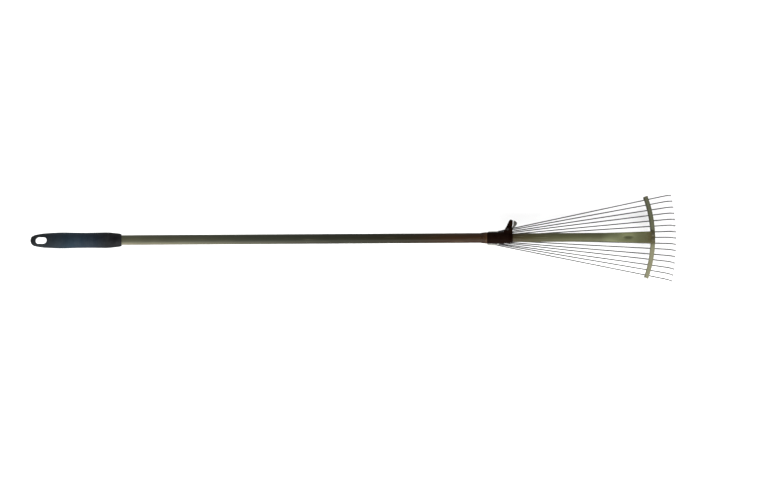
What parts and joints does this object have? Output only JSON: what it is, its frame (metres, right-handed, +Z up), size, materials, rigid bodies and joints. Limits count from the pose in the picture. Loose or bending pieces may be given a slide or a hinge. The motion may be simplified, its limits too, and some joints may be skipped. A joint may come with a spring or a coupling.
{
  "type": "leaf rake",
  "caption": "Adjustable leaf rake: tubular handle with moulded grip, sliding head with a curved guide bar, cam-lever clamp and a fan of hooked wire tines.",
  "frame": {"origin": "on the floor, under the middle of the rake's box", "axes": "+X along the handle, from the grip to the tips of the tines; +Y across the fan, to the side the lever stands on; +Z up, away from the hooks' ends"},
  "size_m": [1.424, 0.1922, 0.0674],
  "materials": {
    "grip_plastic": "moulded dark blue-black plastic with a fine grain",
    "handle_paint": "dark olive-grey enamel on steel tube, satin gloss",
    "head_paint": "olive-grey enamel on steel, satin",
    "clamp_plastic": "black moulded plastic",
    "lever_steel": "grey zinc-plated steel",
    "tine_steel": "dark spring-steel wire",
    "plate_steel": "olive-grey enamel on pressed plate",
    "fastener_steel": "plated steel",
    "nylon": "natural nylon"
  },
  "bodies": {
    "handle": {"grip": "grip_plastic", "handle_tube": "handle_paint", "collar_ferrule": "handle_paint", "clamp_collar": "clamp_plastic", "collar_screw_1": "fastener_steel", "collar_screw_2": "fastener_steel", "tube_bush": "nylon", "lever_pin": "fastener_steel", "carrier_upper_plate": "plate_steel", "carrier_lower_plate": "plate_steel", "carrier_rivet_1": "fastener_steel", "carrier_rivet_2": "fastener_steel", "carrier_rivet_3": "fastener_steel", "tine_8": "tine_steel"},
    "head": {"head_tube": "head_paint", "head_tube_plug": "nylon", "guide_bar": "head_paint", "bar_rivet_1": "fastener_steel", "bar_rivet_2": "fastener_steel"},
    "lever": {"cam_lever": "clamp_plastic", "lever_plate": "lever_steel"},
    "shoe": {"brake_shoe": "clamp_plastic"},
    "tine_1_body": {"tine_1": "tine_steel"},
    "tine_2_body": {"tine_2": "tine_steel"},
    "tine_3_body": {"tine_3": "tine_steel"},
    "tine_4_body": {"tine_4": "tine_steel"},
    "tine_5_body": {"tine_5": "tine_steel"},
    "tine_6_body": {"tine_6": "tine_steel"},
    "tine_7_body": {"tine_7": "tine_steel"},
    "tine_9_body": {"tine_9": "tine_steel"},
    "tine_10_body": {"tine_10": "tine_steel"},
    "tine_11_body": {"tine_11": "tine_steel"},
    "tine_12_body": {"tine_12": "tine_steel"},
    "tine_13_body": {"tine_13": "tine_steel"},
    "tine_14_body": {"tine_14": "tine_steel"},
    "tine_15_body": {"tine_15": "tine_steel"}
  },
  "joints": [
    {"name": "head_slide", "type": "slide", "parent": "handle", "child": "head", "axis": [-1, 0, 0], "range_m": [0, 0.15]},
    {"name": "clamp_lever", "type": "hinge", "parent": "handle", "child": "lever", "pos_m": [0.33834, 0.0182, 0.04955], "axis": [0, 0, 1], "range_deg": [0, 112]},
    {"name": "shoe_press", "type": "slide", "parent": "handle", "child": "shoe", "axis": [0, -1, 0], "range_m": [0, 0.0007829]},
    {"name": "tine_1_turn", "type": "hinge", "parent": "handle", "child": "tine_1_body", "pos_m": [0.30334, -0.01246, 0.02725], "axis": [0, 0, 1], "range_deg": [-7.64, 0]},
    {"name": "tine_2_turn", "type": "hinge", "parent": "handle", "child": "tine_2_body", "pos_m": [0.31334, -0.01246, 0.03225], "axis": [0, 0, 1], "range_deg": [-6.87, 0]},
    {"name": "tine_3_turn", "type": "hinge", "parent": "handle", "child": "tine_3_body", "pos_m": [0.31334, -0.01038, 0.02725], "axis": [0, 0, 1], "range_deg": [-5.73, 0]},
    {"name": "tine_4_turn", "type": "hinge", "parent": "handle", "child": "tine_4_body", "pos_m": [0.30334, -0.00712, 0.03225], "axis": [0, 0, 1], "range_deg": [-4.39, 0]},
    {"name": "tine_5_turn", "type": "hinge", "parent": "handle", "child": "tine_5_body", "pos_m": [0.30334, -0.00534, 0.02725], "axis": [0, 0, 1], "range_deg": [-3.3, 0]},
    {"name": "tine_6_turn", "type": "hinge", "parent": "handle", "child": "tine_6_body", "pos_m": [0.31334, -0.00415, 0.03225], "axis": [0, 0, 1], "range_deg": [-2.3, 0]},
    {"name": "tine_7_turn", "type": "hinge", "parent": "handle", "child": "tine_7_body", "pos_m": [0.31334, -0.00208, 0.02725], "axis": [0, 0, 1], "range_deg": [-1.15, 0]},
    {"name": "tine_9_turn", "type": "hinge", "parent": "handle", "child": "tine_9_body", "pos_m": [0.31334, 0.00208, 0.02725], "axis": [0, 0, 1], "range_deg": [0, 1.15]},
    {"name": "tine_10_turn", "type": "hinge", "parent": "handle", "child": "tine_10_body", "pos_m": [0.31334, 0.00415, 0.03225], "axis": [0, 0, 1], "range_deg": [0, 2.3]},
    {"name": "tine_11_turn", "type": "hinge", "parent": "handle", "child": "tine_11_body", "pos_m": [0.30334, 0.00534, 0.02725], "axis": [0, 0, 1], "range_deg": [0, 3.3]},
    {"name": "tine_12_turn", "type": "hinge", "parent": "handle", "child": "tine_12_body", "pos_m": [0.30334, 0.00712, 0.03225], "axis": [0, 0, 1], "range_deg": [0, 4.39]},
    {"name": "tine_13_turn", "type": "hinge", "parent": "handle", "child": "tine_13_body", "pos_m": [0.31334, 0.01038, 0.02725], "axis": [0, 0, 1], "range_deg": [0, 5.73]},
    {"name": "tine_14_turn", "type": "hinge", "parent": "handle", "child": "tine_14_body", "pos_m": [0.31334, 0.01246, 0.03225], "axis": [0, 0, 1], "range_deg": [0, 6.87]},
    {"name": "tine_15_turn", "type": "hinge", "parent": "handle", "child": "tine_15_body", "pos_m": [0.30334, 0.01246, 0.02725], "axis": [0, 0, 1], "range_deg": [0, 7.64]}
  ],
  "couplings": [
    {"joint": "shoe_press", "follows": "clamp_lever", "m_per_rad": 0.0004},
    {"joint": "tine_1_turn", "follows": "head_slide", "rad_per_m": -0.88869},
    {"joint": "tine_2_turn", "follows": "head_slide", "rad_per_m": -0.79882},
    {"joint": "tine_3_turn", "follows": "head_slide", "rad_per_m": -0.66682},
    {"joint": "tine_4_turn", "follows": "head_slide", "rad_per_m": -0.51089},
    {"joint": "tine_5_turn", "follows": "head_slide", "rad_per_m": -0.38366},
    {"joint": "tine_6_turn", "follows": "head_slide", "rad_per_m": -0.26761},
    {"joint": "tine_7_turn", "follows": "head_slide", "rad_per_m": -0.13387},
    {"joint": "tine_9_turn", "follows": "head_slide", "rad_per_m": 0.13387},
    {"joint": "tine_10_turn", "follows": "head_slide", "rad_per_m": 0.26761},
    {"joint": "tine_11_turn", "follows": "head_slide", "rad_per_m": 0.38366},
    {"joint": "tine_12_turn", "follows": "head_slide", "rad_per_m": 0.51089},
    {"joint": "tine_13_turn", "follows": "head_slide", "rad_per_m": 0.66682},
    {"joint": "tine_14_turn", "follows": "head_slide", "rad_per_m": 0.79882},
    {"joint": "tine_15_turn", "follows": "head_slide", "rad_per_m": 0.88869}
  ]
}
